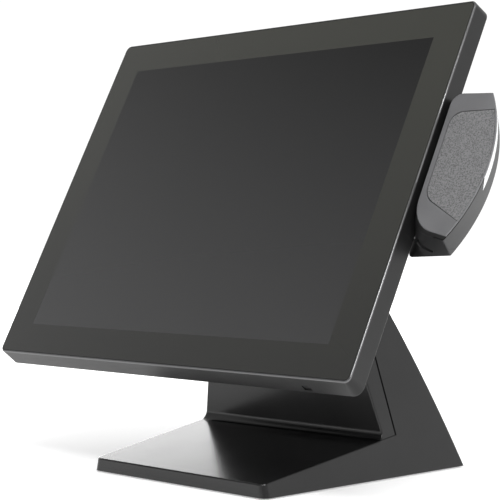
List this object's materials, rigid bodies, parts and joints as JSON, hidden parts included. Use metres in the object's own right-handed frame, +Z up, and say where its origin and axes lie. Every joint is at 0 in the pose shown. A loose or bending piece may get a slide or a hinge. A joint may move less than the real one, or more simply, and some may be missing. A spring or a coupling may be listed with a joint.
{
  "type": "touchscreen checkout terminal",
  "caption": "Flat-glass touchscreen terminal on a hollow wedge stand, with a friction tilt hinge, a side magnetic card reader and a connector bay behind the screen.",
  "frame": {"origin": "centre of the stand's footprint on the counter, at the underside of the central non-slip pad", "axes": "+Z up from the counter, the screen faces -Y and leans back towards +Y, +X is the operator's right, where the card reader is"},
  "size_m": [0.4072, 0.2142, 0.3306],
  "materials": {
    "housing_plastic": "satin",
    "stand_plastic": "satin",
    "touch_glass": "gloss",
    "display_film": "satin",
    "gasket_foam": "matt",
    "sheet_steel": "brushed",
    "board_laminate": "satin",
    "sink_aluminium": "satin",
    "drive_shell": "satin",
    "socket_shell": "bright",
    "socket_plastic": "matt",
    "button_plastic": "gloss",
    "hinge_steel": "satin",
    "screw_steel": "blackened",
    "reader_plastic": "satin",
    "reader_texture": "grained",
    "light_diffuser": "translucent",
    "sensor_brass": "polished",
    "spring_steel": "bright",
    "ballast_iron": "painted",
    "foot_rubber": "matt",
    "adapter_plastic": "matt",
    "washer_brass": "satin"
  },
  "bodies": {
    "stand": {"base_housing": "stand_plastic", "front_cover": "stand_plastic", "bottom_plate": "sheet_steel", "base_screws": "screw_steel", "rubber_feet": "foot_rubber", "centre_foot": "foot_rubber", "ballast_plate": "ballast_iron", "adapter_tray": "sheet_steel", "power_adapter": "adapter_plastic", "hinge_frame": "hinge_steel", "hinge_anchor": "hinge_steel", "hinge_screws": "screw_steel", "hinge_shaft": "hinge_steel", "shaft_clips": "spring_steel", "friction_washers": "washer_brass"},
    "head": {"bezel_frame": "housing_plastic", "rear_housing": "housing_plastic", "touch_glass": "touch_glass", "lcd_panel": "display_film", "dust_gasket": "gasket_foam", "panel_chassis": "sheet_steel", "mainboard": "board_laminate", "memory_module": "board_laminate", "heat_sink": "sink_aluminium", "storage_drive": "drive_shell", "drive_carrier": "sheet_steel", "speaker_left": "socket_plastic", "speaker_right": "socket_plastic", "io_plate": "sheet_steel", "lan_socket": "socket_shell", "usb_sockets": "socket_shell", "video_socket": "socket_plastic", "serial_sockets": "socket_shell", "drawer_socket": "socket_plastic", "dc_inlet": "socket_plastic", "power_switch": "socket_plastic", "tilt_bracket": "hinge_steel", "bracket_screws": "screw_steel", "hinge_cover": "housing_plastic", "housing_screws": "screw_steel", "reader_front": "reader_plastic", "reader_insert": "reader_texture", "reader_side": "reader_plastic", "light_strip": "light_diffuser", "reader_body": "housing_plastic", "head_spring": "spring_steel", "reader_board": "board_laminate", "reader_screws": "screw_steel"},
    "cable_cover": {"cable_cover": "stand_plastic"},
    "power_button": {"power_button": "button_plastic"},
    "magnetic_head": {"magnetic_head": "sensor_brass"}
  },
  "joints": [
    {"name": "head_tilt", "type": "hinge", "parent": "stand", "child": "head", "pos_m": [0, 0.0142, 0.16], "axis": [1, 0, 0], "range_deg": [-46, 18]},
    {"name": "cable_cover_lift", "type": "slide", "parent": "stand", "child": "cable_cover", "axis": [0, 1, 0], "range_m": [0, 0.12]},
    {"name": "power_press", "type": "slide", "parent": "head", "child": "power_button", "axis": [0, 0.4788, 0.8779], "range_m": [0, 0.001], "stiffness_N_per_m": 2500},
    {"name": "magnetic_head_float", "type": "slide", "parent": "head", "child": "magnetic_head", "axis": [0, 0.8779, -0.4788], "range_m": [0, 0.0006], "stiffness_N_per_m": 1500}
  ]
}
